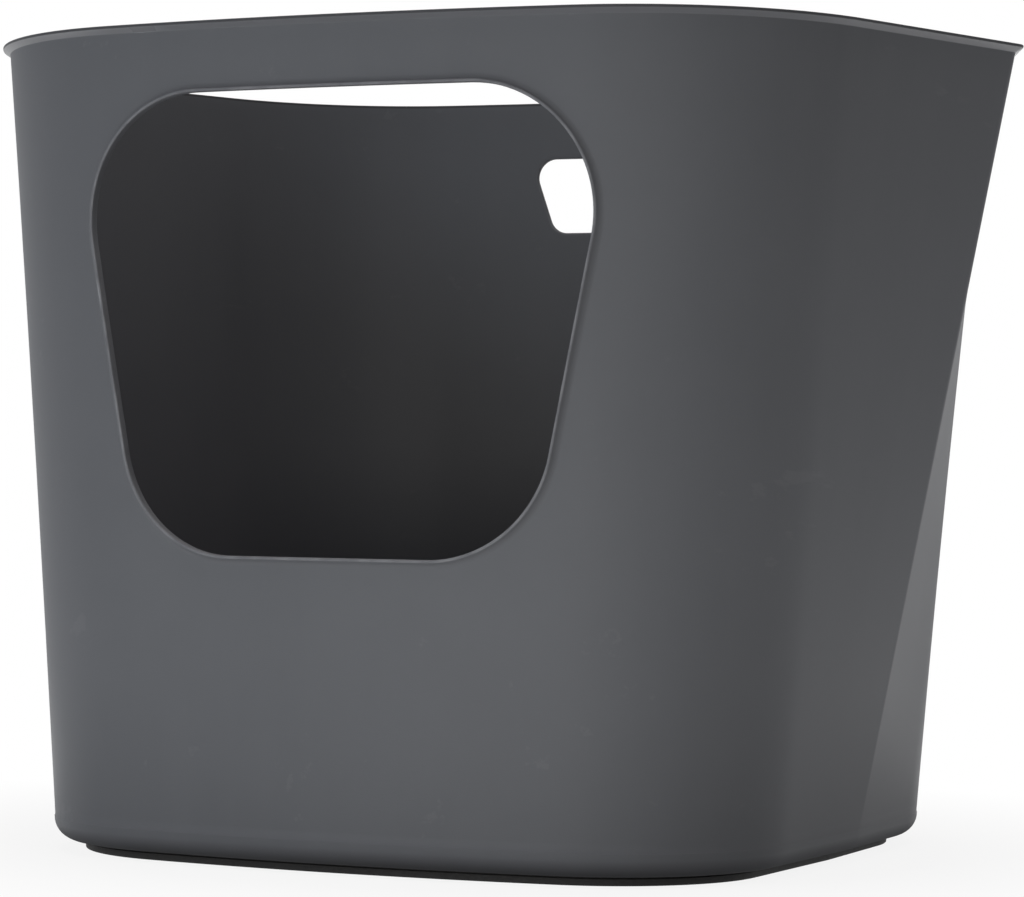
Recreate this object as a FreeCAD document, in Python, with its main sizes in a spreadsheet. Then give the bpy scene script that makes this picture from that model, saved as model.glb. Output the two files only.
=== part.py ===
# Open-topped front-entry litter bin with a lift-out tray, in millimetres.
# +Z is up, the entry faces -Y, and the origin is under the middle of the foot.

import FreeCAD
import Part
import Sketcher
import math
import os
from FreeCAD import Vector

# Driving sizes, one sheet cell each.
SIZES = {
    # bin shell: heights and walls
    "bin_height": 390.0,
    "foot_line_height": 16.0,
    "bin_wall": 3.0,
    "bin_floor": 3.5,
    "foot_edge_radius": 11.0,
    "inner_edge_radius": 7.0,
    # plan of the wall at the rim, without the lip
    "rim_width": 521.2,
    "rim_depth": 385.0,
    "rim_side_swell": 33.0,
    "rim_corner_radius": 123.0,
    "rim_bow_radius": 1074.0,
    "rim_crease_radius": 8.0,
    "rim_crease_back": 11.6,
    # plan of the wall at the foot line
    "foot_width": 377.7,
    "foot_depth": 372.9,
    "foot_side_swell": 1.5,
    "foot_corner_radius": 89.5,
    "foot_bow_radius": 743.0,
    "foot_crease_radius": 60.0,
    "foot_crease_back": 7.0,
    # lip turned out from the rim
    "lip_reach": 3.3,
    "lip_height": 5.0,
    "lip_edge": 1.3,
    "lip_root_depth": 2.4,
    "lip_edge_radius": 0.5,
    # entry in the front wall
    "entry_drop": 32.6,
    "entry_sill_height": 144.2,
    "entry_width": 255.2,
    "entry_top_radius": 58.0,
    "entry_bottom_radius": 58.3,
    "entry_bottom_span": 101.0,
    "entry_edge_radius": 1.2,
    # grip slot in the back wall
    "grip_drop": 31.1,
    "grip_height": 40.9,
    "grip_width": 129.4,
    "grip_top_radius": 10.2,
    "grip_bottom_radius": 10.2,
    "grip_bottom_span": 94.5,
    "grip_edge_radius": 1.0,
    # ring that the bin stands on
    "ring_height": 4.5,
    "ring_inset": 15.0,
    "ring_width": 10.0,
    "ring_seat_depth": 1.5,
    "ring_edge_radius": 0.8,
    # lift-out tray
    "tray_height": 116.0,
    "tray_wall": 2.4,
    "tray_floor": 2.4,
    "tray_seat_gap": 0.3,
    "tray_side_gap": 3.0,
    "tray_finger_room": 18.0,
    "tray_foot_height": 15.0,
    "tray_edge_radius": 14.0,
    "tray_inner_edge_radius": 11.5,
    "tray_crease_radius": 250.0,
    "tray_lip_reach": 8.0,
    "tray_lip_edge": 2.4,
    "tray_lip_drop": 6.0,
    "tray_lip_edge_radius": 0.8,
}


class Size:
    """A number, with the sheet formula that gives it. Free sizes have no formula."""

    def __init__(self, value, formula=None):
        self.value = value
        self.formula = formula

    def __neg__(self):
        return Size(-self.value, f"-{self.formula}")

    def __add__(self, other):
        return Size(self.value + other.value, f"({self.formula} + {other.formula})")

    def __sub__(self, other):
        return Size(self.value - other.value, f"({self.formula} - {other.formula})")

    def __mul__(self, other):
        return Size(self.value * other.value, f"({self.formula} * {other.formula})")

    def __truediv__(self, other):
        return Size(self.value / other.value, f"({self.formula} / {other.formula})")


ZERO = Size(0.0, "0")
TWO = Size(2.0, "2")
ROUNDING_SHARE = Size(0.95, "0.95")
TOLERANCE = 1e-4


def rounding(radius, room):
    """A rounding's radius, held within the room that its faces leave."""
    most = room * ROUNDING_SHARE
    return Size(min(radius.value, most.value), f"min({radius.formula}; {most.formula})")


class Plan:
    """Level outline of a wall: bowed ends, round corners, and sides that swell out to a crease."""

    NAMES = ("width", "depth", "side_swell", "corner_radius", "bow_radius", "crease_radius", "crease_back")

    def __init__(self, **sizes):
        for name in self.NAMES:
            setattr(self, name, sizes[name])

    def between(self, other, share, crease_radius):
        """The plan a share of the way up to another one."""
        sizes = {}
        for name in self.NAMES:
            start = getattr(self, name)
            sizes[name] = start + (getattr(other, name) - start) * share
        sizes["crease_radius"] = crease_radius
        return Plan(**sizes)

    def shortened(self, length):
        """The same plan with both ends moved in along the width."""
        sizes = {name: getattr(self, name) for name in self.NAMES}
        sizes["width"] = self.width - length * TWO
        return Plan(**sizes)

    def arcs(self, inset):
        """Centre, radius and joint to the next arc, anticlockwise from the front bow."""
        bow_y = self.bow_radius - self.depth / TWO
        corner_x = self.width / TWO - self.side_swell - self.corner_radius
        reach = self.bow_radius.value - self.corner_radius.value
        corner_y = bow_y.value - math.sqrt(reach ** 2 - corner_x.value ** 2)
        crease_x = self.width / TWO - self.crease_radius
        bow = self.bow_radius - inset
        corner = self.corner_radius - inset
        crease = self.crease_radius - inset
        return [
            (ZERO, bow_y, bow, "touch"),
            (corner_x, Size(corner_y), corner, "line"),
            (crease_x, self.crease_back, crease, "line"),
            (corner_x, Size(-corner_y), corner, "touch"),
            (ZERO, -bow_y, bow, "touch"),
            (-corner_x, Size(-corner_y), corner, "line"),
            (-crease_x, self.crease_back, crease, "line"),
            (-corner_x, Size(corner_y), corner, "touch"),
        ]


def fill_sheet(doc):
    sheet = doc.addObject("Spreadsheet::Sheet", "Sizes")
    sizes = {}
    for row, (name, value) in enumerate(SIZES.items(), start=1):
        sheet.set(f"A{row}", name)
        sheet.set(f"B{row}", str(value))
        sheet.setAlias(f"B{row}", name)
        sizes[name] = Size(value, f"Sizes.{name}")
    doc.recompute()
    return sizes


def new_sketch(body, name, role, lift=ZERO):
    """A sketch on one of the body's own planes, lifted along that plane's normal."""
    sketch = body.newObject("Sketcher::SketchObject", name)
    plane = next(item for item in body.Origin.OriginFeatures if item.Role == role)
    sketch.AttachmentSupport = (plane, "")
    sketch.MapMode = "FlatFace"
    if lift is not ZERO:
        sketch.setExpression("AttachmentOffset.Base.z", lift.formula)
    return sketch


def pin_size(sketch, constraint, size):
    index = sketch.addConstraint(constraint)
    sketch.setExpression(f"Constraints[{index}]", size.formula)


def pin_centre(sketch, arc, kind, axis, size):
    """Hold an arc's centre at a signed distance from the sketch's origin."""
    if size.formula is None:
        return
    if size.value == 0.0:
        sketch.addConstraint(Sketcher.Constraint("PointOnObject", arc, 3, axis))
    elif size.value > 0.0:
        pin_size(sketch, Sketcher.Constraint(kind, -1, 1, arc, 3, size.value), size)
    else:
        pin_size(sketch, Sketcher.Constraint(kind, arc, 3, -1, 1, -size.value), -size)


def joint_angle(arc, other):
    """Direction of the outward normal where one arc hands over to the next."""
    dx = other[0].value - arc[0].value
    dy = other[1].value - arc[1].value
    difference = arc[2].value - other[2].value
    if arc[3] == "touch":
        return math.atan2(dy, dx) if difference > 0.0 else math.atan2(-dy, -dx)
    return math.atan2(dy, dx) - math.acos(difference / math.hypot(dx, dy))


def draw_belt(sketch, arcs):
    """A closed outline of arcs that touch or are joined by tangent lines."""
    count = len(arcs)
    normals = [joint_angle(arcs[i], arcs[(i + 1) % count]) for i in range(count)]
    indices = []
    ends = []
    for i, (x, y, radius, joint) in enumerate(arcs):
        circle = Part.Circle(Vector(x.value, y.value, 0), Vector(0, 0, 1), radius.value)
        start = normals[i - 1]
        sweep = (normals[i] - start) % (2 * math.pi)
        curve = Part.ArcOfCircle(circle, start, start + sweep)
        indices.append(sketch.addGeometry(curve, False))
        ends.append((curve.StartPoint, curve.EndPoint))
    for i, (x, y, radius, joint) in enumerate(arcs):
        after = (i + 1) % count
        if joint == "touch":
            sketch.addConstraint(Sketcher.Constraint("Tangent", indices[i], 2, indices[after], 1))
        else:
            line = sketch.addGeometry(Part.LineSegment(ends[i][1], ends[after][0]), False)
            sketch.addConstraint(Sketcher.Constraint("Tangent", indices[i], 2, line, 1))
            sketch.addConstraint(Sketcher.Constraint("Tangent", line, 2, indices[after], 1))
    for i, (x, y, radius, joint) in enumerate(arcs):
        pin_size(sketch, Sketcher.Constraint("Radius", indices[i], radius.value), radius)
        pin_centre(sketch, indices[i], "DistanceX", -2, x)
        pin_centre(sketch, indices[i], "DistanceY", -1, y)


def plan_sketch(body, name, plan, lift, *insets):
    sketch = new_sketch(body, name, "XY_Plane", lift)
    for inset in insets:
        draw_belt(sketch, plan.arcs(inset))
    return sketch


def opening_sketch(body, name, size, kind, top, bottom):
    """A round-cornered opening in an upright wall, narrower at its foot."""
    sketch = new_sketch(body, name, "XZ_Plane")
    top_radius = size[f"{kind}_top_radius"]
    bottom_radius = size[f"{kind}_bottom_radius"]
    top_x = size[f"{kind}_width"] / TWO - top_radius
    top_y = top - top_radius
    bottom_x = size[f"{kind}_bottom_span"] / TWO
    bottom_y = bottom + bottom_radius
    draw_belt(sketch, [
        (-bottom_x, bottom_y, bottom_radius, "line"),
        (bottom_x, bottom_y, bottom_radius, "line"),
        (top_x, top_y, top_radius, "line"),
        (-top_x, top_y, top_radius, "line"),
    ])
    return sketch


def settle(feature, cuts=False):
    """Compute a new feature and see that it added or removed material."""
    base = feature.BaseFeature.Shape.Volume if feature.BaseFeature else 0.0
    feature.Document.recompute()
    change = feature.Shape.Volume - base
    if change * (-1 if cuts else 1) <= 0.0:
        raise RuntimeError(f"{feature.Label} changed nothing")
    return feature


def pad(body, name, sketch, length, down=False):
    feature = body.newObject("PartDesign::Pad", name)
    feature.Profile = sketch
    feature.Reversed = down
    feature.setExpression("Length", length.formula)
    return settle(feature)


def pocket(body, name, sketch, length=None, along_normal=False):
    """A cut to a depth, or right through where no depth is given."""
    feature = body.newObject("PartDesign::Pocket", name)
    feature.Profile = sketch
    feature.Reversed = along_normal
    if length is None:
        feature.Type = "ThroughAll"
    else:
        feature.setExpression("Length", length.formula)
    return settle(feature, cuts=True)


def loft(body, name, lower, upper, cuts=False):
    kind = "PartDesign::SubtractiveLoft" if cuts else "PartDesign::AdditiveLoft"
    feature = body.newObject(kind, name)
    feature.Profile = lower
    feature.Sections = [upper]
    feature.Ruled = True
    return settle(feature, cuts)


def round_edges(body, name, base, chosen, radius):
    """Round every edge of the base for which chosen is true."""
    edges = [f"Edge{i}" for i, edge in enumerate(base.Shape.Edges, start=1) if chosen(edge)]
    feature = body.newObject("PartDesign::Fillet", name)
    feature.Base = (base, edges)
    feature.setExpression("Radius", radius.formula)
    feature.Document.recompute()
    return feature


def level_at(height):
    """Picks the edges that lie level at a height."""
    def chosen(edge):
        return all(abs(vertex.Z - height.value) < TOLERANCE for vertex in edge.Vertexes)
    return chosen


def along(outline):
    """Picks the edges that a cut through an upright outline leaves on a wall."""
    def chosen(edge):
        middle = edge.valueAt((edge.FirstParameter + edge.LastParameter) / 2)
        ends = [vertex.Point for vertex in edge.Vertexes]
        crosses_wall = math.hypot(ends[0].x - ends[-1].x, ends[0].z - ends[-1].z) < TOLERANCE
        level = Part.Vertex(middle.x, 0, middle.z)
        return not crosses_wall and outline.Shape.distToShape(level)[0] < TOLERANCE
    return chosen


def moulded_foot(body, name, plan, inset, base, line, wall, floor, outer_radius, inner_radius):
    """The dished foot of a moulding, from its base up to a level line where the wall starts."""
    outer = plan_sketch(body, f"{name}_foot_plan", plan, line, inset)
    inner = plan_sketch(body, f"{name}_inner_foot_plan", plan, line, inset + wall)
    body.Document.recompute()
    pad(body, f"{name}_foot", outer, line - base, down=True)
    dish = pocket(body, f"{name}_dish", inner, line - base - floor)
    inner_radius = rounding(inner_radius, line - base - floor)
    outer_radius = rounding(outer_radius, line - base)
    inside = round_edges(body, f"{name}_inner_edge", dish, level_at(base + floor), inner_radius)
    round_edges(body, f"{name}_foot_edge", inside, level_at(base), outer_radius)
    return outer, inner


def bin_shell(doc, size, foot, rim):
    body = doc.addObject("PartDesign::Body", "bin_shell")
    wall = size["bin_wall"]
    top = size["bin_height"]
    underside = size["ring_height"]

    foot_plan, inner_foot_plan = moulded_foot(
        body, "bin", foot, ZERO, underside, size["foot_line_height"], wall, size["bin_floor"],
        size["foot_edge_radius"], size["inner_edge_radius"])
    rim_plan = plan_sketch(body, "rim_plan", rim, top, ZERO)
    inner_rim_plan = plan_sketch(body, "inner_rim_plan", rim, top, wall)
    lip_root = plan_sketch(body, "lip_root_plan", rim, top - size["lip_height"], size["lip_root_depth"])
    lip_plan = plan_sketch(body, "lip_plan", rim, top - size["lip_edge"], -size["lip_reach"])
    doc.recompute()
    loft(body, "outer_wall", foot_plan, rim_plan)
    loft(body, "lip_flare", lip_root, lip_plan)
    lip_pad = pad(body, "lip_pad", lip_plan, size["lip_edge"])
    round_edges(body, "lip_edge", lip_pad, level_at(top), rounding(size["lip_edge_radius"], size["lip_edge"]))
    loft(body, "inner_wall", inner_foot_plan, inner_rim_plan, cuts=True)

    entry_top = top - size["entry_drop"]
    entry_outline = opening_sketch(body, "entry_outline", size, "entry", entry_top, size["entry_sill_height"])
    doc.recompute()
    entry = pocket(body, "entry", entry_outline, along_normal=True)
    entry_radius = rounding(size["entry_edge_radius"], wall / TWO)
    round_edges(body, "entry_edge", entry, along(entry_outline), entry_radius)
    grip_top = top - size["grip_drop"]
    grip_outline = opening_sketch(body, "grip_outline", size, "grip", grip_top, grip_top - size["grip_height"])
    doc.recompute()
    grip = pocket(body, "grip", grip_outline)
    grip_radius = rounding(size["grip_edge_radius"], wall / TWO)
    round_edges(body, "grip_edge", grip, along(grip_outline), grip_radius)

    ring_outer, ring_inner = ring_insets(size)
    seat = plan_sketch(body, "ring_seat_plan", foot, underside, ring_outer, ring_inner)
    doc.recompute()
    pocket(body, "ring_seat", seat, size["ring_seat_depth"], along_normal=True)
    return body


def ring_insets(size):
    """How far the ring's outer and inner faces lie inside the foot plan."""
    return size["ring_inset"], size["ring_inset"] + size["ring_width"]


def foot_ring(doc, size, foot):
    body = doc.addObject("PartDesign::Body", "non_slip_foot_ring")
    ring_plan = plan_sketch(body, "ring_plan", foot, ZERO, *ring_insets(size))
    doc.recompute()
    ring = pad(body, "ring", ring_plan, size["ring_height"] + size["ring_seat_depth"])
    edge_radius = rounding(size["ring_edge_radius"], size["ring_height"])
    round_edges(body, "ring_edge", ring, level_at(ZERO), edge_radius)
    return body


def litter_tray(doc, size, foot, rim):
    body = doc.addObject("PartDesign::Body", "litter_tray")
    wall = size["tray_wall"]
    base = size["ring_height"] + size["bin_floor"] + size["tray_seat_gap"]
    foot_line = base + size["tray_foot_height"]
    top = base + size["tray_height"]
    lip_outer = size["bin_wall"] + size["tray_side_gap"]
    wall_outer = lip_outer + size["tray_lip_reach"]
    bin_foot_line = size["foot_line_height"]
    share = (top - bin_foot_line) / (size["bin_height"] - bin_foot_line)
    tray_rim = foot.between(rim, share, size["tray_crease_radius"]).shortened(size["tray_finger_room"])

    foot_plan, inner_foot_plan = moulded_foot(
        body, "tray", foot, wall_outer, base, foot_line, wall, size["tray_floor"],
        size["tray_edge_radius"], size["tray_inner_edge_radius"])
    rim_plan = plan_sketch(body, "tray_rim_plan", tray_rim, top, wall_outer)
    inner_rim_plan = plan_sketch(body, "tray_inner_rim_plan", tray_rim, top, wall_outer + wall)
    lip_plan = plan_sketch(body, "tray_lip_plan", tray_rim, top, lip_outer)
    skirt_plan = plan_sketch(body, "tray_skirt_plan", tray_rim, top, lip_outer, lip_outer + wall)
    doc.recompute()
    loft(body, "tray_outer_wall", foot_plan, rim_plan)
    pad(body, "tray_lip", lip_plan, size["tray_lip_edge"], down=True)
    skirt = pad(body, "tray_lip_skirt", skirt_plan, size["tray_lip_drop"], down=True)
    lip_radius = rounding(size["tray_lip_edge_radius"], size["tray_lip_edge"])
    round_edges(body, "tray_lip_edge", skirt, level_at(top), lip_radius)
    loft(body, "tray_inner_wall", inner_foot_plan, inner_rim_plan, cuts=True)
    return body


def check(doc, bodies):
    for item in doc.Objects:
        if "Invalid" in item.State or "Error" in item.State:
            raise RuntimeError(f"{item.Label} failed: {item.State}")
    for body in bodies:
        if body.Shape.isNull() or not body.Shape.isValid() or len(body.Shape.Solids) != 1:
            raise RuntimeError(f"{body.Label} is not one valid solid")


def main():
    doc = FreeCAD.newDocument("LitterBin")
    size = fill_sheet(doc)
    rim = Plan(**{name: size[f"rim_{name}"] for name in Plan.NAMES})
    foot = Plan(**{name: size[f"foot_{name}"] for name in Plan.NAMES})
    bodies = [
        bin_shell(doc, size, foot, rim),
        foot_ring(doc, size, foot),
        litter_tray(doc, size, foot, rim),
    ]
    doc.recompute()
    check(doc, bodies)
    os.makedirs("parts", exist_ok=True)
    for body in bodies:
        body.Shape.exportStep(f"parts/{body.Label}.step")
        print(f"{body.Label}: {body.Shape.Volume / 1000:.0f} cm3, {len(body.Shape.Faces)} faces")
    return doc


main()
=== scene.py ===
import bmesh
import bpy
import cmath
import math
import numpy as np
from mathutils import Matrix, Vector


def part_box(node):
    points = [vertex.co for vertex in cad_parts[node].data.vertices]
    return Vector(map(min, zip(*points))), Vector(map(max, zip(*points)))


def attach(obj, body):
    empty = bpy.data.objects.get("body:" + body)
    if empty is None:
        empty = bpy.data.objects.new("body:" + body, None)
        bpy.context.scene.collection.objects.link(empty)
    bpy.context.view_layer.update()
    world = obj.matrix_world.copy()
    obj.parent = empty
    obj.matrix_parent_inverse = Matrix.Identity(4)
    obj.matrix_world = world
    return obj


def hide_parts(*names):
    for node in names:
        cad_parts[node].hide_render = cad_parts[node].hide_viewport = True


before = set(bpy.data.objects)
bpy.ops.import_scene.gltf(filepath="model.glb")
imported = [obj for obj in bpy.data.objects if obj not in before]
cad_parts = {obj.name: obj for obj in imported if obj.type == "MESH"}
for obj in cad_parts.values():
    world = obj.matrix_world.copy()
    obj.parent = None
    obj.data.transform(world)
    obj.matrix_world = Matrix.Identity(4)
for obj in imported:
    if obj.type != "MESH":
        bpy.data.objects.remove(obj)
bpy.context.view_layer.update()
print("frame loaded:", ", ".join(sorted(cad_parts)))

# Level outlines are complex numbers, x + y * 1j, and openings are x + z * 1j. All sizes are metres.

depthFineness = 12      # times as many points where a wall's depth is looked up
planSteps = {"bow": 22, "corner": 28, "side": 20, "crease": 10}    # cells in each stretch of a quarter
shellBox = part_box("bin_shell")
lipReach = 0.0033
lipHeight = 0.0036         # from the rim down to the lip's root

footPlan = {
    "width": 0.3777,
    "depth": 0.3729,
    "sideSwell": 0.0022,      # how far the crease stands out past the round corners
    "cornerRadius": 0.0936,
    "bowRadius": 0.743,
    "creaseRadius": 0.06,
    "creaseBack": 0.007,
}
rimPlan = {
    "width": shellBox[1].x - shellBox[0].x - 2 * lipReach,
    "depth": shellBox[1].y - shellBox[0].y - 2 * lipReach,
    "sideSwell": 0.0323,
    "cornerRadius": 0.1248,
    "bowRadius": 1.074,
    "creaseRadius": 0.008,
    "creaseBack": 0.0116,
}


def lineNormal(centre, radius, nextCentre, nextRadius):
    # direction square to the line that touches two circles in turn, anticlockwise
    step = nextCentre - centre
    return cmath.phase(step) - math.acos((radius - nextRadius) / abs(step))


def arcPoints(centre, radius, start, end, steps):
    turns = start + (end - start) * np.arange(steps) / steps
    return centre + radius * np.exp(1j * turns)


def planRing(plan, inset=0.0, fineness=1):
    # one level outline, anticlockwise from the middle of the front
    bowCentre = 1j * (plan["bowRadius"] - plan["depth"] / 2)
    cornerX = plan["width"] / 2 - plan["sideSwell"] - plan["cornerRadius"]
    reach = plan["bowRadius"] - plan["cornerRadius"]
    corner = cornerX + 1j * (bowCentre.imag - math.sqrt(reach ** 2 - cornerX ** 2))
    backCorner = corner.conjugate()
    crease = plan["width"] / 2 - plan["creaseRadius"] + 1j * plan["creaseBack"]
    bowRadius = plan["bowRadius"] - inset
    cornerRadius = plan["cornerRadius"] - inset
    creaseRadius = plan["creaseRadius"] - inset
    cornerStart = cmath.phase(corner - bowCentre)
    frontNormal = lineNormal(corner, cornerRadius, crease, creaseRadius)
    backNormal = lineNormal(crease, creaseRadius, backCorner, cornerRadius)
    steps = {name: count * fineness for name, count in planSteps.items()}
    along = np.arange(steps["side"]) / steps["side"]

    def sidePoints(start, startRadius, end, endRadius, normal):
        first = start + cmath.rect(startRadius, normal)
        last = end + cmath.rect(endRadius, normal)
        return first + (last - first) * along

    right = np.concatenate((
        arcPoints(bowCentre, bowRadius, -math.pi / 2, cornerStart, steps["bow"]),
        arcPoints(corner, cornerRadius, cornerStart, frontNormal, steps["corner"]),
        sidePoints(corner, cornerRadius, crease, creaseRadius, frontNormal),
        arcPoints(crease, creaseRadius, frontNormal, backNormal, steps["crease"]),
        sidePoints(crease, creaseRadius, backCorner, cornerRadius, backNormal),
        arcPoints(backCorner, cornerRadius, backNormal, -cornerStart, steps["corner"]),
        arcPoints(bowCentre.conjugate(), bowRadius, -cornerStart, math.pi / 2, steps["bow"]),
    ))
    middleOfBack = bowCentre.conjugate() + 1j * bowRadius
    return np.concatenate((right, [middleOfBack], -np.conj(right[:0:-1])))


class RuledWall:
    # a wall of straight lines from one plan up to another, upright below the first

    def __init__(self, lowPlan, highPlan, lowLevel, highLevel):
        self.plans = (lowPlan, highPlan)
        self.levels = (lowLevel, highLevel)
        self.known = {}

    def ends(self, inset, fineness):
        key = (round(inset, 7), fineness)
        if key not in self.known:
            self.known[key] = [planRing(plan, inset, fineness) for plan in self.plans]
        return self.known[key]

    def outline(self, inset, z, fineness=1):
        low, high = self.ends(inset, fineness)
        share = max(0.0, (z - self.levels[0]) / (self.levels[1] - self.levels[0]))
        return low + (high - low) * share

    def ring(self, inset, z):
        flat = self.outline(inset, z)
        return np.column_stack((flat.real, flat.imag, np.full(len(flat), z)))

    def depthAt(self, x, z, inset, facing):
        # y of the front wall, facing -1, or of the back wall, facing 1, at a given x and height
        fine = self.outline(inset, z, depthFineness)
        quarter = len(fine) // 4
        stretch = fine[:quarter] if facing < 0 else fine[2 * quarter:quarter:-1]
        return np.interp(abs(x), stretch.real, stretch.imag)


class Skin:
    # points and faces of one closed surface, gathered loop by loop

    def __init__(self):
        self.points = []
        self.faces = []

    def loop(self, points):
        first = len(self.points)
        self.points.extend(tuple(map(float, point)) for point in points)
        return list(range(first, len(self.points)))

    def band(self, lower, upper, missing=()):
        count = len(lower)
        for i in range(count):
            after = (i + 1) % count
            if i not in missing:
                self.faces.append((lower[i], lower[after], upper[after], upper[i]))

    def bands(self, loops):
        for lower, upper in zip(loops, loops[1:]):
            self.band(lower, upper)

    def closeLevel(self, edge, shares):
        # fills a level outline with rings that shrink to its middle
        loops = [edge]
        outline = np.array([self.points[i] for i in edge])
        middle = outline.mean(axis=0)
        for share in shares:
            loops.append(self.loop(middle + (outline - middle) * share))
        self.bands(loops)
        centre = self.loop([middle])[0]
        last = loops[-1]
        for i, point in enumerate(last):
            self.faces.append((point, last[(i + 1) % len(last)], centre))


def roundedPath(corners, steps=6):
    # a path of straight runs through (inset, z, radius) corners, with an arc at each radius
    path = []
    for i, (inset, z, radius) in enumerate(corners):
        here = complex(inset, z)
        if radius == 0.0:
            path.append(here)
            continue
        before = complex(*corners[i - 1][:2]) - here
        after = complex(*corners[(i + 1) % len(corners)][:2]) - here
        before /= abs(before)
        after /= abs(after)
        half = math.acos(max(-1.0, min(1.0, (before * after.conjugate()).real))) / 2
        start = here + before * radius / math.tan(half)
        middle = here + (before + after) / abs(before + after) * radius / math.sin(half)
        sweep = cmath.phase((here + after * radius / math.tan(half) - middle) / (start - middle))
        path.extend(middle + (start - middle) * cmath.exp(1j * sweep * k / steps) for k in range(steps + 1))
    return [(point.real, point.imag) for point in path]


def makePiece(name, skin, material, node, body):
    mesh = bpy.data.meshes.new(name)
    mesh.from_pydata(skin.points, [], skin.faces)
    work = bmesh.new()
    work.from_mesh(mesh)
    bmesh.ops.recalc_face_normals(work, faces=work.faces)
    work.to_mesh(mesh)
    work.free()
    mesh.shade_smooth()
    mesh.materials.append(material)
    piece = bpy.data.objects.new(name, mesh)
    bpy.context.scene.collection.objects.link(piece)
    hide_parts(node)
    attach(piece, body)
    print(f"{name}: {len(mesh.vertices)} points, {len(mesh.polygons)} faces")
    return piece


# Node helpers

def addNode(tree, kind, sockets=None, **settings):
    node = tree.nodes.new(kind)
    for key, value in settings.items():
        setattr(node, key, value)
    for key, value in (sockets or {}).items():
        if isinstance(value, bpy.types.NodeSocket):
            tree.links.new(value, node.inputs[key])
        else:
            node.inputs[key].default_value = value
    return node


def addMath(tree, operation, first, second):
    return addNode(tree, "ShaderNodeMath", {0: first, 1: second}, operation=operation).outputs[0]


def mixColour(tree, share, first, second):
    node = addNode(tree, "ShaderNodeMix", {0: share, 6: first, 7: second}, data_type="RGBA")
    return node.outputs[2]


def remap(tree, value, fromLow, fromHigh, toLow, toHigh):
    sockets = {"Value": value, "From Min": fromLow, "From Max": fromHigh, "To Min": toLow, "To Max": toHigh}
    return addNode(tree, "ShaderNodeMapRange", sockets).outputs["Result"]


def newGroup(name, inputs, outputs):
    tree = bpy.data.node_groups.new(name, "ShaderNodeTree")
    for label, default in inputs.items():
        socket = tree.interface.new_socket(label, in_out="INPUT", socket_type="NodeSocketFloat")
        socket.default_value = default
    for label in outputs:
        tree.interface.new_socket(label, in_out="OUTPUT", socket_type="NodeSocketFloat")
    return tree, addNode(tree, "NodeGroupInput"), addNode(tree, "NodeGroupOutput")


def useGroup(tree, group, **values):
    node = addNode(tree, "ShaderNodeGroup", node_tree=group)
    for label, value in values.items():
        node.inputs[label].default_value = value
    return node


def colour(red, green, blue):
    # an sRGB colour, 0 to 255, as the linear one that shaders use
    def linear(value):
        value /= 255
        return value / 12.92 if value <= 0.04045 else ((value + 0.055) / 1.055) ** 2.4
    return (linear(red), linear(green), linear(blue), 1.0)


# Moulded plastic: fine tool texture, slow drift in tone, and faint flow lines up the wall

grainShape = {
    "grainDetail": 3.0,
    "grainRoughness": 0.6,
    "driftDetail": 4.0,
    "driftRoughness": 0.55,
    "flowStretch": 0.06,
}


def makeMouldGrain():
    tree, given, result = newGroup(
        "mouldGrain", {"GrainPerMetre": 1500.0, "DriftPerMetre": 7.0, "FlowPerMetre": 60.0},
        ["Grain", "Drift", "Flow"])
    place = addNode(tree, "ShaderNodeTexCoord").outputs["Object"]
    grain = addNode(tree, "ShaderNodeTexNoise", {
        "Vector": place, "Scale": given.outputs["GrainPerMetre"], "Detail": grainShape["grainDetail"],
        "Roughness": grainShape["grainRoughness"]})
    drift = addNode(tree, "ShaderNodeTexNoise", {
        "Vector": place, "Scale": given.outputs["DriftPerMetre"], "Detail": grainShape["driftDetail"],
        "Roughness": grainShape["driftRoughness"]})
    drawn = addNode(tree, "ShaderNodeMapping", {
        "Vector": place, "Scale": (1.0, 1.0, grainShape["flowStretch"])})
    flow = addNode(tree, "ShaderNodeTexNoise", {
        "Vector": drawn.outputs["Vector"], "Scale": given.outputs["FlowPerMetre"],
        "Detail": grainShape["grainDetail"]})
    for label, node in (("Grain", grain), ("Drift", drift), ("Flow", flow)):
        tree.links.new(node.outputs["Fac"], result.inputs[label])
    return tree


# Edges rubbed a little paler and smoother by handling; the paler edge tone is also a painted highlight

rubAndHighlightShape = {"cornerRange": (0.51, 0.55), "patchRange": (0.35, 0.65), "leastPatch": 0.3, "patchDetail": 3.0}


def makeRubbedEdges():
    tree, given, result = newGroup("rubbedAndHighlightedEdges", {"Patchiness": 90.0}, ["Rub"])
    place = addNode(tree, "ShaderNodeTexCoord").outputs["Object"]
    corner = addNode(tree, "ShaderNodeNewGeometry").outputs["Pointiness"]
    edge = remap(tree, corner, *rubAndHighlightShape["cornerRange"], 0.0, 1.0)
    patches = addNode(tree, "ShaderNodeTexNoise", {
        "Vector": place, "Scale": given.outputs["Patchiness"],
        "Detail": rubAndHighlightShape["patchDetail"]}).outputs["Fac"]
    patches = remap(tree, patches, *rubAndHighlightShape["patchRange"], rubAndHighlightShape["leastPatch"], 1.0)
    tree.links.new(addMath(tree, "MULTIPLY", edge, patches), result.inputs["Rub"])
    return tree


# Thin scratches left by scooping and carrying

scratchShape = {
    "strokes": ((0.4, 0.02), (-0.9, 0.03), (1.7, 0.025)),      # turn and stretch of each set of lines
    "detail": 5.0,
    "roughness": 0.7,
    "lineRange": (0.665, 0.7),
}


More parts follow.
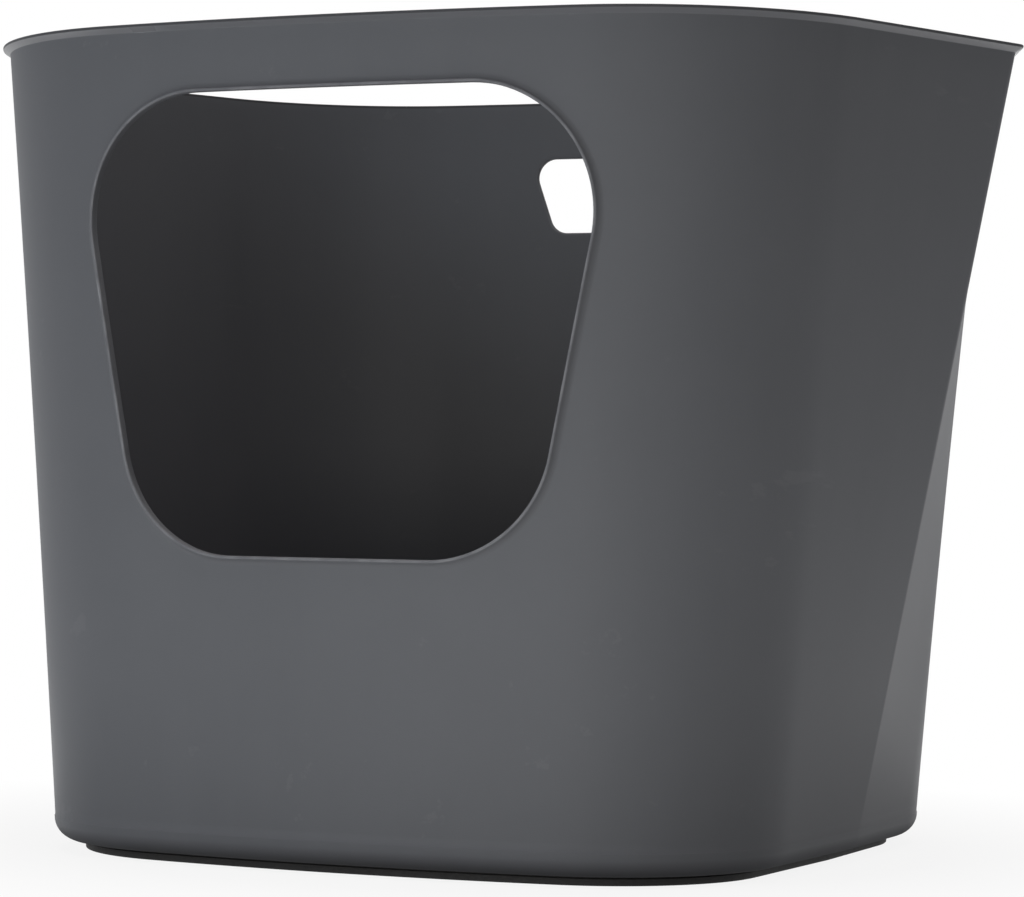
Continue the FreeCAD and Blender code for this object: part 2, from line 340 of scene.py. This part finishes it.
def makeHairScratches():
    tree, given, result = newGroup("hairScratches", {"ScratchesPerMetre": 30.0, "Share": 0.5}, ["Scratch"])
    place = addNode(tree, "ShaderNodeTexCoord").outputs["Object"]
    total = None
    for turn, stretch in scratchShape["strokes"]:
        turned = addNode(tree, "ShaderNodeMapping", {
            "Vector": place, "Rotation": (turn, turn / 2, turn), "Scale": (1.0, stretch, 1.0)})
        noise = addNode(tree, "ShaderNodeTexNoise", {
            "Vector": turned.outputs["Vector"], "Scale": given.outputs["ScratchesPerMetre"],
            "Detail": scratchShape["detail"], "Roughness": scratchShape["roughness"]}).outputs["Fac"]
        line = remap(tree, noise, *scratchShape["lineRange"], 0.0, 1.0)
        total = line if total is None else addMath(tree, "MAXIMUM", total, line)
    tree.links.new(addMath(tree, "MULTIPLY", total, given.outputs["Share"]), result.inputs["Scratch"])
    return tree


mouldGrain = makeMouldGrain()
rubbedAndHighlightedEdges = makeRubbedEdges()
hairScratches = makeHairScratches()


def newMaterial(name):
    material = bpy.data.materials.new(name)
    material.use_nodes = True
    tree = material.node_tree
    return material, tree, tree.nodes["Principled BSDF"]


def heightMasks(tree, heights):
    # masks of the lip's smooth underside with painted light, its upright edge with painted shade, the foot's
    # lower edge with painted shade, and what hands reach
    place = addNode(tree, "ShaderNodeTexCoord").outputs["Object"]
    facing = addNode(tree, "ShaderNodeNewGeometry").outputs["Normal"]
    z = addNode(tree, "ShaderNodeSeparateXYZ", {0: place}).outputs["Z"]
    rise = addNode(tree, "ShaderNodeSeparateXYZ", {0: facing}).outputs["Z"]
    blur = heights["lipBlur"]
    under = remap(tree, rise, *heights["underFacing"], 0.0, 1.0)
    aboveRoot = remap(tree, z, heights["lipRoot"] - blur, heights["lipRoot"], 0.0, 1.0)
    under = addMath(tree, "MULTIPLY", under, aboveRoot)
    edge = remap(tree, z, heights["lipEdge"] - blur, heights["lipEdge"], 0.0, heights["lipEdgeShadeShare"])
    edge = addMath(tree, "MULTIPLY", edge, remap(tree, rise, *heights["edgeFacing"], 0.0, 1.0))
    foot = remap(tree, z, *heights["footRange"], 0.0, heights["footShadeShare"])
    foot = addMath(tree, "MULTIPLY", foot, remap(tree, rise, *heights["footFacing"], 0.0, 1.0))
    handled = remap(tree, z, *heights["handledRange"], 0.0, 1.0)
    return under, edge, foot, handled


def makePlastic(name, look, heights=None):
    material, tree, shader = newMaterial(name)
    grain = useGroup(
        tree, mouldGrain, GrainPerMetre=look["grainPerMetre"], DriftPerMetre=look["driftPerMetre"])
    rubAndHighlight = useGroup(tree, rubbedAndHighlightedEdges, Patchiness=look["rubPatches"]).outputs["Rub"]
    scratch = useGroup(tree, hairScratches, Share=look["scratchShare"]).outputs["Scratch"]
    if heights is not None:
        under, edge, foot, handled = heightMasks(tree, heights)
        rubAndHighlight = addMath(tree, "MULTIPLY", rubAndHighlight, handled)
    drift = remap(tree, grain.outputs["Drift"], *look["driftRange"], 0.0, 1.0)
    tone = mixColour(tree, drift, look["deepTone"], look["paleTone"])
    flow = remap(tree, grain.outputs["Flow"], *look["flowRange"], 0.0, look["flowShare"])
    tone = mixColour(tree, flow, tone, look["paleTone"])
    # edges painted paler: partly rubbed by wear, partly a painted highlight
    rubAndHighlightShare = addMath(tree, "MULTIPLY", rubAndHighlight, look["rubAndHighlightShare"])
    tone = mixColour(tree, rubAndHighlightShare, tone, look["rubAndHighlightTone"])
    tone = mixColour(tree, scratch, tone, look["rubAndHighlightTone"])
    spread = look["roughSpread"]
    rough = remap(tree, grain.outputs["Drift"], *look["driftRange"],
                  look["roughness"] - spread, look["roughness"] + spread)
    rough = addMath(tree, "SUBTRACT", rough, addMath(tree, "MULTIPLY", rubAndHighlight, look["rubSmoother"]))
    if heights is not None:
        # painted shade on the foot's lower edge
        tone = mixColour(tree, foot, tone, heights["footShadeTone"])
        # painted light on the lip's underside
        tone = mixColour(tree, under, tone, heights["underPaintedLightTone"])
        # painted shade on the lip's upright edge
        tone = mixColour(tree, edge, tone, heights["lipEdgeShadeTone"])
        rough = addMath(tree, "SUBTRACT", rough, addMath(tree, "MULTIPLY", under, heights["underSmoother"]))
        rough = addMath(tree, "ADD", rough, addMath(tree, "MULTIPLY", foot, heights["footDuller"]))
    tree.links.new(tone, shader.inputs["Base Color"])
    tree.links.new(rough, shader.inputs["Roughness"])
    bump = addNode(tree, "ShaderNodeBump", {
        "Height": grain.outputs["Grain"], "Strength": look["grainStrength"], "Distance": look["grainDepth"]})
    tree.links.new(bump.outputs["Normal"], shader.inputs["Normal"])
    shader.inputs["Specular IOR Level"].default_value = look["specular"]
    return material


binLook = {
    "deepTone": colour(80, 82, 86),
    "paleTone": colour(86, 88, 92),
    # pale edge tone: partly real rubbing, partly a painted highlight along the edges
    "rubAndHighlightTone": colour(150, 152, 156),
    "rubAndHighlightShare": 0.7,
    "rubSmoother": 0.08,
    "rubPatches": 90.0,
    "grainPerMetre": 1500.0,
    "grainStrength": 0.12,
    "grainDepth": 0.0004,
    "driftPerMetre": 7.0,
    "driftRange": (0.3, 0.7),
    "flowRange": (0.35, 0.7),
    "flowShare": 0.25,
    "roughness": 0.55,
    "roughSpread": 0.03,
    "specular": 0.18,
    "scratchShare": 0.04,
}
binHeights = {
    "lipRoot": shellBox[1].z - lipHeight,
    "lipEdge": shellBox[1].z - 0.0012,
    "lipBlur": 0.0003,
    "underFacing": (-0.45, -0.65),      # upward part of the normal, from none of the mask to all of it
    # painted light: the lip's underside is painted paler, standing in for light thrown up from the floor
    "underPaintedLightTone": colour(92, 94, 98),
    "underSmoother": 0.25,
    "edgeFacing": (0.9, 0.6),
    # painted shade: the lip's upright top edge is painted darker
    "lipEdgeShadeTone": colour(48, 49, 52),
    "lipEdgeShadeShare": 0.85,
    "footRange": (0.0125, 0.005),       # painted shade: the foot's edge is painted darker on the way down
    "footFacing": (0.3, 0.1),
    "footShadeTone": colour(40, 40, 42),
    "footShadeShare": 0.8,
    "footDuller": 0.5,
    "handledRange": (0.02, 0.03),       # no rubbed edge and no painted edge highlight below this
}
trayLook = dict(binLook, grainPerMetre=2200.0, grainStrength=0.08, roughness=0.4, scratchShare=0.12)
ringLook = {
    "tone": colour(22, 22, 23),
    "dust": colour(62, 61, 60),
    "dustShare": 0.2,
    "dustRange": (0.4, 0.75),
    "grainPerMetre": 900.0,
    "grainRange": (0.3, 0.7),
    "grainStrength": 0.25,
    "grainDepth": 0.0004,
    "roughness": 0.72,
    "roughSpread": (-0.06, 0.08),
    "specular": 0.3,
}


def makeRubber(name, look):
    material, tree, shader = newMaterial(name)
    grain = useGroup(tree, mouldGrain, GrainPerMetre=look["grainPerMetre"])
    rubAndHighlight = useGroup(tree, rubbedAndHighlightedEdges).outputs["Rub"]
    dusty = remap(tree, grain.outputs["Drift"], *look["dustRange"], 0.0, look["dustShare"])
    tone = mixColour(tree, dusty, look["tone"], look["dust"])
    tone = mixColour(tree, addMath(tree, "MULTIPLY", rubAndHighlight, look["dustShare"]), tone, look["dust"])
    tree.links.new(tone, shader.inputs["Base Color"])
    least, most = (look["roughness"] + change for change in look["roughSpread"])
    rough = remap(tree, grain.outputs["Grain"], *look["grainRange"], least, most)
    tree.links.new(rough, shader.inputs["Roughness"])
    bump = addNode(tree, "ShaderNodeBump", {
        "Height": grain.outputs["Grain"], "Strength": look["grainStrength"], "Distance": look["grainDepth"]})
    tree.links.new(bump.outputs["Normal"], shader.inputs["Normal"])
    shader.inputs["Specular IOR Level"].default_value = look["specular"]
    return material


binPlastic = makePlastic("slateGreyMouldedPlastic", binLook, binHeights)
trayPlastic = makePlastic("slateGreyTrayPlastic", trayLook)
footRubber = makeRubber("blackNonSlipRubber", ringLook)
print("materials made")


# Bin shell: one moulding with a creased wall, turned-out lip, rounded foot, entry and grip slot

shell = {
    "wall": 0.003,
    "floor": 0.0035,
    "footLine": 0.016,          # where the upright foot meets the leaning wall
    "footRadius": 0.0109,
    "innerRadius": 0.007,
    "footLedge": 0.0003,        # the foot stands this far proud of the wall
    "lipEdge": 0.0013,          # upright edge of the lip
    "lipRadius": 0.0005,
    "lipRootRadius": 0.0006,
    "lipClear": 0.002,          # the wall's own rows end this far below the lip's root
    "ringInset": 0.015,
    "ringWidth": 0.010,
    "ringSeat": 0.0015,
    "wallRows": 84,
    "windowMargin": 0.013,      # clear band of wall round an opening's own mesh
    "floorShares": (0.8, 0.6, 0.4, 0.2),
}
entry = {
    "facing": -1,
    "top": shellBox[1].z - 0.0326,
    "bottom": 0.1442,
    "width": 0.2552,
    "topRadius": 0.058,
    "bottomRadius": 0.0583,
    "bottomSpan": 0.101,
    "edgeRadius": 0.0012,
    "cornerDensity": 1.3,
    "flare": {"radius": 0.0033, "turn": 65, "edge": 0.0008},      # the wall turns out to a thin edge
}
grip = {
    "facing": 1,
    "top": shellBox[1].z - 0.0311,
    "bottom": shellBox[1].z - 0.072,
    "width": 0.1294,
    "topRadius": 0.0102,
    "bottomRadius": 0.0102,
    "bottomSpan": 0.0945,
    "edgeRadius": 0.001,
    "cornerDensity": 5.0,
}
ringShares = (0.2, 0.4, 0.58, 0.74, 0.87, 0.95, 1.0)     # rings from the wall's own mesh in to an opening
edgeSteps = 5
flareSteps = 8
footSteps = 10
arcSamples = 200       # in each half of an opening's corner


def openingLoop(opening, grow, counts):
    # outline of an opening, anticlockwise from the middle of its lower left corner
    bottom = opening["bottom"] + opening["bottomRadius"]
    top = opening["top"] - opening["topRadius"]
    bottomX = opening["bottomSpan"] / 2
    topX = opening["width"] / 2 - opening["topRadius"]
    arcs = [
        (complex(-bottomX, bottom), opening["bottomRadius"]),
        (complex(bottomX, bottom), opening["bottomRadius"]),
        (complex(topX, top), opening["topRadius"]),
        (complex(-topX, top), opening["topRadius"]),
    ]
    normals = [lineNormal(*arcs[i], *arcs[(i + 1) % 4]) for i in range(4)]
    halves = []
    for i, (centre, radius) in enumerate(arcs):
        sweep = (normals[i] - normals[i - 1]) % (2 * math.pi)
        turns = normals[i - 1] + sweep * np.linspace(0, 1, 2 * arcSamples + 1)
        points = centre + (radius + grow) * np.exp(1j * turns)
        halves.append((points[:arcSamples + 1], points[arcSamples:]))
    loop = []
    for i, count in enumerate(counts):
        run = np.concatenate((halves[i][1], halves[(i + 1) % 4][0]))
        spans = abs(np.diff(run))
        spans[len(halves[i][1]) - 1] /= opening["cornerDensity"]      # fewer points on the straight
        length = np.concatenate(([0.0], np.cumsum(spans)))
        loop.append(np.interp(length[-1] * np.arange(count) / count, length, run))
    return np.concatenate(loop)


def openingWindow(opening, levels, wall):
    # rows and columns of the wall's own mesh that an opening's mesh takes the place of
    margin = shell["windowMargin"]
    lowRow = max(i for i, z in enumerate(levels) if z <= opening["bottom"] - margin)
    highRow = min(i for i, z in enumerate(levels) if z >= opening["top"] + margin)
    count = len(wall.outline(0.0, levels[0]))
    middle = 0 if opening["facing"] < 0 else count // 2
    reach = opening["width"] / 2 + margin
    half = next(k for k in range(count) if all(
        abs(wall.outline(0.0, levels[row])[(middle + k) % count].real) >= reach for row in (lowRow, highRow)))
    steps = range(-half, half + 1)
    columns = [(middle - opening["facing"] * k) % count for k in steps]
    missing = {(middle + k) % count for k in range(-half, half)}
    return {"rows": (lowRow, highRow), "columns": columns, "missing": missing}


def windowLoop(rows, window):
    # the window's border in the wall's mesh, anticlockwise from its lower left corner
    low, high = window["rows"]
    columns = window["columns"]
    border = [rows[low][c] for c in columns[:-1]]
    border += [rows[r][columns[-1]] for r in range(low, high)]
    border += [rows[high][c] for c in columns[:0:-1]]
    border += [rows[r][columns[0]] for r in range(high, low, -1)]
    counts = [len(columns) - 1, high - low] * 2
    return border, counts


def edgeProfile(radius, flare=None):
    # (distance from the opening, rise from the wall) where an opening's edge turns in from the wall's face
    if flare is None:
        turns = [math.pi / 2 * k / edgeSteps for k in range(edgeSteps + 1)]
        return [(radius * (1 - math.sin(turn)), -radius * (1 - math.cos(turn))) for turn in turns]
    bend, edge, most = flare["radius"], flare["edge"], math.radians(flare["turn"])
    edgeRise = bend * (1 - math.cos(most)) - edge * math.cos(most)
    start = edge + edge * math.sin(most) + bend * math.sin(most)
    turns = [most * k / flareSteps for k in range(flareSteps + 1)]
    profile = [(start - bend * math.sin(turn), bend * (1 - math.cos(turn))) for turn in turns]
    turns = [most - (most + math.pi / 2) * k / flareSteps for k in range(1, flareSteps + 1)]
    return profile + [(edge + edge * math.sin(turn), edgeRise + edge * math.cos(turn)) for turn in turns]


def fitOpening(skin, opening, window, wall, sides):
    # sides are the wall's outer and inner face, each with its inset, its rows of points and any flare
    facing = opening["facing"]
    joined = []
    for outward, (inset, rows, flare) in zip((1, -1), sides):
        def onWall(flat, rise):
            shift = facing * outward * rise
            depths = [wall.depthAt(p.real, p.imag, inset, facing) + shift for p in flat]
            return skin.loop((p.real, depth, p.imag) for p, depth in zip(flat, depths))

        profile = edgeProfile(opening["edgeRadius"], flare)
        border, counts = windowLoop(rows, window)
        start = np.array([complex(skin.points[i][0], skin.points[i][2]) for i in border])
        end = openingLoop(opening, profile[0][0], counts)
        loops = [border]
        loops += [onWall(start + (end - start) * share, 0.0) for share in ringShares]
        loops += [onWall(openingLoop(opening, grow, counts), rise) for grow, rise in profile[1:]]
        skin.bands(loops)
        joined.append(loops[-1])
    skin.band(joined[0], joined[1])


def makeShell():
    height = shellBox[1].z
    base = shellBox[0].z
    thick = shell["wall"]
    wall = RuledWall(footPlan, rimPlan, shell["footLine"], height)
    skin = Skin()

    ledge = shell["footLedge"]
    ringInner = shell["ringInset"] + shell["ringWidth"]
    seat = base + shell["ringSeat"]
    under = roundedPath([
        (ringInner, base, 0.0),
        (ringInner, seat, 0.0),
        (shell["ringInset"], seat, 0.0),
        (shell["ringInset"], base, 0.0),
        (-ledge, base, shell["footRadius"]),
        (-ledge, shell["footLine"] - ledge, ledge / 2),
        (0.0, shell["footLine"], 0.0),
    ], steps=footSteps)
    lipRoot = height - lipHeight
    wallTop = lipRoot - shell["lipClear"]
    lipLow = height - shell["lipEdge"]
    levels = np.linspace(shell["footLine"], wallTop, shell["wallRows"])[1:]
    lip = roundedPath([
        (0.0, wallTop, 0.0),
        (0.0, lipRoot, shell["lipRootRadius"]),
        (-lipReach, lipLow, shell["lipRadius"]),
        (-lipReach, height, shell["lipRadius"]),
        (thick, height, shell["lipRadius"]),
        (thick, wallTop, 0.0),
    ])[1:-1]
    floorTop = base + shell["floor"]
    inside = roundedPath([
        (thick, shell["footLine"], 0.0),
        (thick, floorTop, shell["innerRadius"]),
        (ringInner, floorTop, 0.0),
    ])

    underRows = [skin.loop(wall.ring(*place)) for place in under]
    outerRows = [skin.loop(wall.ring(0.0, z)) for z in levels]
    lipRows = [skin.loop(wall.ring(*place)) for place in lip]
    innerRows = [skin.loop(wall.ring(thick, z)) for z in levels]
    insideRows = [skin.loop(wall.ring(*place)) for place in inside]

    windows = [openingWindow(opening, levels, wall) for opening in (entry, grip)]
    for rows in (outerRows, innerRows):
        for i in range(len(rows) - 1):
            missing = set()
            for window in windows:
                if window["rows"][0] <= i < window["rows"][1]:
                    missing |= window["missing"]
            skin.band(rows[i], rows[i + 1], missing)
    skin.bands(underRows + outerRows[:1])
    skin.bands(outerRows[-1:] + lipRows + innerRows[-1:])
    skin.bands(innerRows[:1] + insideRows)
    skin.closeLevel(underRows[0], shell["floorShares"])
    skin.closeLevel(insideRows[-1], shell["floorShares"])
    for opening, window in zip((entry, grip), windows):
        sides = ((0.0, outerRows, opening.get("flare")), (thick, innerRows, None))
        fitOpening(skin, opening, window, wall, sides)
    return makePiece("binShell", skin, binPlastic, "bin_shell", "bin")


# Foot ring: a plain rubber strip pressed into its groove under the floor

ring = {
    "lowRadius": 0.0008,
    "highRadius": 0.0003,
    "gapHeight": 0.0012,        # shadow gap where the ring goes up into its groove
    "gapDepth": 0.0014,
}


def makeFootRing():
    low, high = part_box("non_slip_foot_ring")
    wall = RuledWall(footPlan, rimPlan, shell["footLine"], shellBox[1].z)
    outer = shell["ringInset"]
    inner = outer + shell["ringWidth"]
    shoulder = shellBox[0].z - ring["gapHeight"]
    neck = outer + ring["gapDepth"]
    section = roundedPath([
        (inner, low.z, ring["lowRadius"]),
        (outer, low.z, ring["lowRadius"]),
        (outer, shoulder, ring["highRadius"]),
        (neck, shoulder, ring["highRadius"]),
        (neck, high.z, ring["highRadius"]),
        (inner, high.z, ring["highRadius"]),
    ])
    skin = Skin()
    rows = [skin.loop(wall.ring(*place)) for place in section]
    skin.bands(rows + rows[:1])
    return makePiece("footRing", skin, footRubber, "non_slip_foot_ring", "bin")


# Litter tray: stands loose on the floor, and its turned-down lip leaves room for fingers at both ends

tray = {
    "wall": 0.0024,
    "floor": 0.0024,
    "sideGap": 0.003,
    "fingerRoom": 0.018,
    "footHeight": 0.015,
    "footRadius": 0.014,
    "innerRadius": 0.0115,
    "creaseRadius": 0.25,
    "lipReach": 0.008,
    "lipThick": 0.0024,
    "lipDrop": 0.006,
    "lipRadius": 0.001,
    "lipClear": 0.004,
    "wallRows": 10,
}


def makeTray():
    low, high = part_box("litter_tray")
    thick = tray["wall"]
    footLine = low.z + tray["footHeight"]
    share = (high.z - shell["footLine"]) / (shellBox[1].z - shell["footLine"])
    trayRim = {name: size + (rimPlan[name] - size) * share for name, size in footPlan.items()}
    trayRim["creaseRadius"] = tray["creaseRadius"]
    trayRim["width"] -= 2 * tray["fingerRoom"]
    lipOuter = shell["wall"] + tray["sideGap"]
    outer = lipOuter + tray["lipReach"]
    inner = outer + thick
    lipUnder = high.z - tray["lipThick"]
    lipEnd = high.z - tray["lipDrop"]
    edge = tray["lipRadius"]
    wall = RuledWall(footPlan, trayRim, footLine, high.z)
    levels = np.linspace(footLine, lipUnder - tray["lipClear"], tray["wallRows"])
    flat = outer + 2 * tray["footRadius"]

    outside = roundedPath([
        (flat, low.z, 0.0),
        (outer, low.z, tray["footRadius"]),
        (outer, footLine, 0.0),
    ], steps=footSteps)[:-1]
    outside += [(outer, z) for z in levels]
    lip = roundedPath([
        (outer, levels[-1], 0.0),
        (outer, lipUnder, edge),
        (lipOuter + thick, lipUnder, edge),
        (lipOuter + thick, lipEnd, edge / 2),
        (lipOuter, lipEnd, edge / 2),
        (lipOuter, high.z, edge),
        (inner, high.z, edge),
        (inner, levels[-1], 0.0),
    ])[1:-1]
    floorTop = low.z + tray["floor"]
    inside = [(inner, z) for z in levels[::-1]]
    inside += roundedPath([
        (inner, footLine, 0.0),
        (inner, floorTop, tray["innerRadius"]),
        (flat, floorTop, 0.0),
    ], steps=footSteps)[1:]

    skin = Skin()
    rows = [skin.loop(wall.ring(*place)) for place in outside + lip + inside]
    skin.bands(rows)
    skin.closeLevel(rows[0], shell["floorShares"])
    skin.closeLevel(rows[-1], shell["floorShares"])
    return makePiece("litterTray", skin, trayPlastic, "litter_tray", "tray")


makeShell()
makeFootRing()
makeTray()


# Floor, light and camera

stageLook = {
    "floorSize": 12.0,
    "floorTone": (0.7, 0.7, 0.7, 1.0),
    "floorRoughness": 0.9,
    "whiteShare": 0.88,           # how far the floor by the foot is lifted to plain white for the camera
    "whiteNear": 0.22,            # the lift grows to full from here
    "whiteFar": 0.45,             # to here, outside the shadow
    "worldLight": 0.1,
}
lamps = {
    "keyLeft": {"place": (-1.2, -2.4, 1.2), "size": (1.4, 1.0), "power": 14.5, "tint": (0.93, 1.0, 1.12)},
    "lowLeft": {"place": (-0.5, -1.1, 0.06), "size": (0.9, 0.3), "power": 0.8, "tint": (0.8, 1.0, 1.2)},
    "lowFront": {"place": (0.1, -1.2, 0.06), "size": (1.0, 0.3), "power": 5.6, "tint": (1.05, 1.0, 0.92)},
    "topSoft": {"place": (0.0, 0.1, 2.4), "size": (2.4, 2.0), "power": 27.5, "tint": (1.12, 1.0, 0.98)},
    "backSoft": {"place": (-0.5, 2.7, 1.0), "size": (1.6, 1.2), "power": 12.0, "tint": (1.0, 1.0, 1.0)},
}
# light that a white table throws up at the walls, as soft panels lying on the floor
bounces = {
    "bounceFront": {"place": (0.0, -0.42), "size": (1.0, 0.3), "power": 0.8},
    "bounceRight": {"place": (0.48, 0.0), "size": (0.3, 0.6), "power": 0.45},
    "bounceLeft": {"place": (-0.48, 0.0), "size": (0.3, 0.6), "power": 0.8},
    "bounceBack": {"place": (0.0, 0.45), "size": (1.0, 0.3), "power": 1.2},
}
bounceLevel = 0.004
lampTarget = Vector((0.0, 0.0, 0.18))
cameraSetup = {
    "turn": 24.41,               # degrees round to the right of the front
    "pitch": 0.6102,
    "roll": -0.7571,
    "distance": 1.83336,
    "aside": 0.00589,
    "height": 0.17716,
    "focalPixels": 3671.0,
    "imageWidth": 1024,
    "sensor": 36.0,
    "clipEnd": 50.0,
}


def whiteForCamera(tree):
    # 1 for rays that show the background itself, straight or in a reflection
    path = addNode(tree, "ShaderNodeLightPath")
    seen = addMath(tree, "MAXIMUM", path.outputs["Is Camera Ray"], path.outputs["Is Glossy Ray"])
    return addMath(tree, "MAXIMUM", seen, path.outputs["Is Transmission Ray"])


def makeFloor():
    half = stageLook["floorSize"] / 2
    mesh = bpy.data.meshes.new("floor")
    corners = [(-half, -half, 0), (half, -half, 0), (half, half, 0), (-half, half, 0)]
    mesh.from_pydata(corners, [], [(0, 1, 2, 3)])
    floor = bpy.data.objects.new("floor", mesh)
    bpy.context.scene.collection.objects.link(floor)
    material, tree, shader = newMaterial("paleFloor")
    shader.inputs["Base Color"].default_value = stageLook["floorTone"]
    shader.inputs["Roughness"].default_value = stageLook["floorRoughness"]
    shader.inputs["Specular IOR Level"].default_value = 0.0
    plain = addNode(tree, "ShaderNodeEmission", {"Color": (1, 1, 1, 1), "Strength": 1.0})
    place = addNode(tree, "ShaderNodeTexCoord").outputs["Object"]
    away = addNode(tree, "ShaderNodeVectorMath", {0: place}, operation="LENGTH").outputs["Value"]
    lift = remap(tree, away, stageLook["whiteNear"], stageLook["whiteFar"], stageLook["whiteShare"], 1.0)
    share = addMath(tree, "MULTIPLY", whiteForCamera(tree), lift)
    mixed = addNode(tree, "ShaderNodeMixShader", {0: share, 1: shader.outputs[0], 2: plain.outputs[0]})
    tree.links.new(mixed.outputs[0], tree.nodes["Material Output"].inputs["Surface"])
    mesh.materials.append(material)


def makeWorld():
    world = bpy.data.worlds.new("studio")
    world.use_nodes = True
    bpy.context.scene.world = world
    tree = world.node_tree
    light = tree.nodes["Background"]
    light.inputs["Color"].default_value = (1, 1, 1, 1)
    light.inputs["Strength"].default_value = stageLook["worldLight"]
    plain = addNode(tree, "ShaderNodeBackground", {"Color": (1, 1, 1, 1), "Strength": 1.0})
    mixed = addNode(tree, "ShaderNodeMixShader", {
        0: whiteForCamera(tree), 1: light.outputs[0], 2: plain.outputs[0]})
    tree.links.new(mixed.outputs[0], tree.nodes["World Output"].inputs["Surface"])


def addPanel(name, size, power, tint, place, aim):
    data = bpy.data.lights.new(name, "AREA")
    data.shape = "RECTANGLE"
    data.size, data.size_y = size
    data.energy = power
    data.color = tint
    light = bpy.data.objects.new(name, data)
    light.location = place
    light.rotation_euler = (aim - place).to_track_quat("-Z", "Y").to_euler()
    light.visible_camera = False
    bpy.context.scene.collection.objects.link(light)


def makeLamps():
    for name, lamp in lamps.items():
        addPanel(name, lamp["size"], lamp["power"], lamp["tint"], Vector(lamp["place"]), lampTarget)
    for name, bounce in bounces.items():
        place = Vector((*bounce["place"], bounceLevel))
        addPanel(name, bounce["size"], bounce["power"], (1, 1, 1), place, place + Vector((0, 0, 1)))


def makeCamera():
    turn, pitch, roll = (math.radians(cameraSetup[name]) for name in ("turn", "pitch", "roll"))
    level = Vector((-math.sin(turn), math.cos(turn), 0))
    right = Vector((math.cos(turn), math.sin(turn), 0))
    upright = Vector((0, 0, 1))
    ahead = level * math.cos(pitch) + upright * math.sin(pitch)
    above = upright * math.cos(pitch) - level * math.sin(pitch)
    place = right * cameraSetup["aside"] + upright * cameraSetup["height"] - level * cameraSetup["distance"]
    axes = (
        right * math.cos(roll) - above * math.sin(roll),
        right * math.sin(roll) + above * math.cos(roll),
        -ahead,
    )
    data = bpy.data.cameras.new("camera")
    data.sensor_fit = "HORIZONTAL"
    data.sensor_width = cameraSetup["sensor"]
    data.lens = cameraSetup["sensor"] * cameraSetup["focalPixels"] / cameraSetup["imageWidth"]
    data.clip_end = cameraSetup["clipEnd"]
    camera = bpy.data.objects.new("camera", data)
    camera.matrix_world = Matrix.Translation(place) @ Matrix(axes).transposed().to_4x4()
    bpy.context.scene.collection.objects.link(camera)
    bpy.context.scene.camera = camera


makeFloor()
makeWorld()
makeLamps()
makeCamera()
bpy.context.scene.view_settings.view_transform = "Standard"
print("floor, light and camera placed")

bpy.context.view_layer.update()
